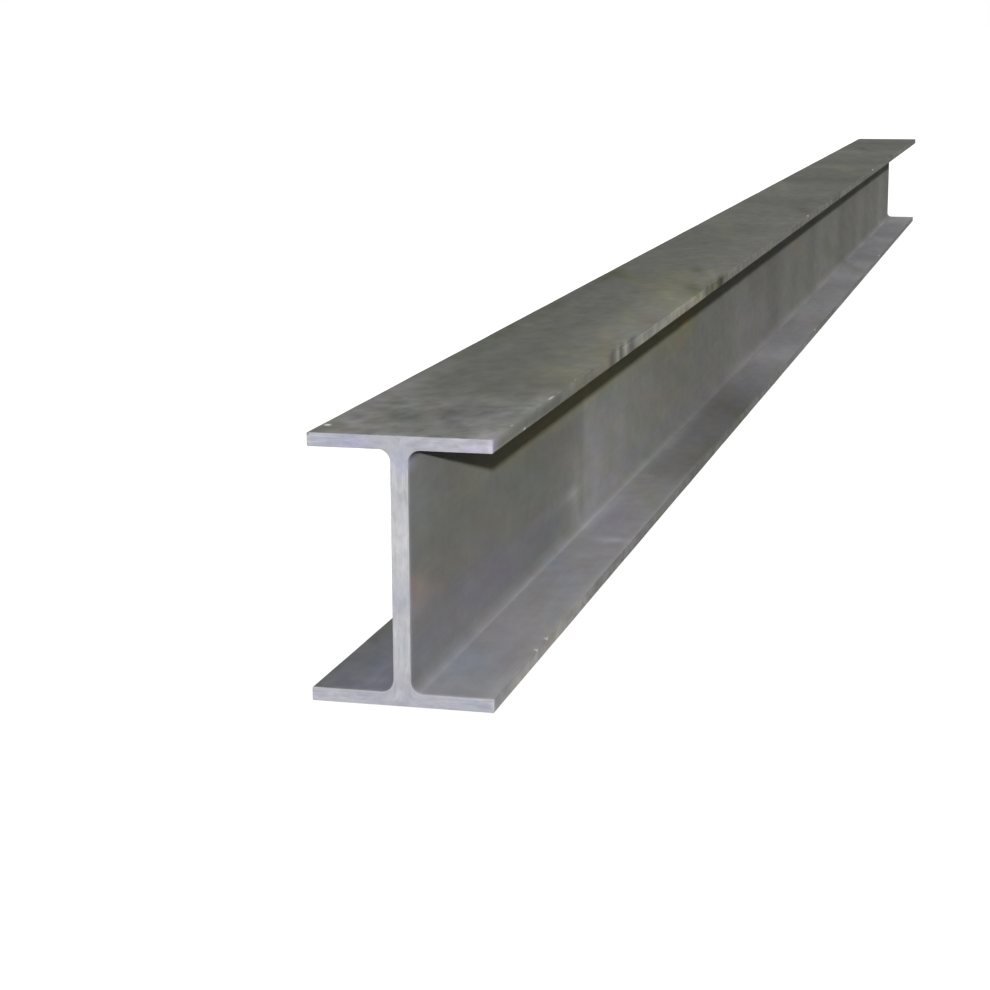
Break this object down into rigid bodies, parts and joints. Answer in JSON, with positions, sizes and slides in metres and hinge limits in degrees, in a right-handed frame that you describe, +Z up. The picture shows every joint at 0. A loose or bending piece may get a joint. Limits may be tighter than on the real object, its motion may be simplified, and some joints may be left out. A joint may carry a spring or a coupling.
{
  "type": "steel h-beam",
  "caption": "Hot-rolled steel H-beam with parallel flanges and filleted roots, sawn square to a stock length for framing and support.",
  "frame": {"origin": "on the underside of the lower flange, midway along the beam and midway across it", "axes": "+Y along the beam's length, +Z up through the web's depth to the upper flange, +X across the flanges"},
  "size_m": [0.2, 6, 0.29],
  "materials": {
    "rolled_steel": "satin"
  },
  "bodies": {
    "root": {"h_beam": "rolled_steel"}
  },
  "joints": []
}
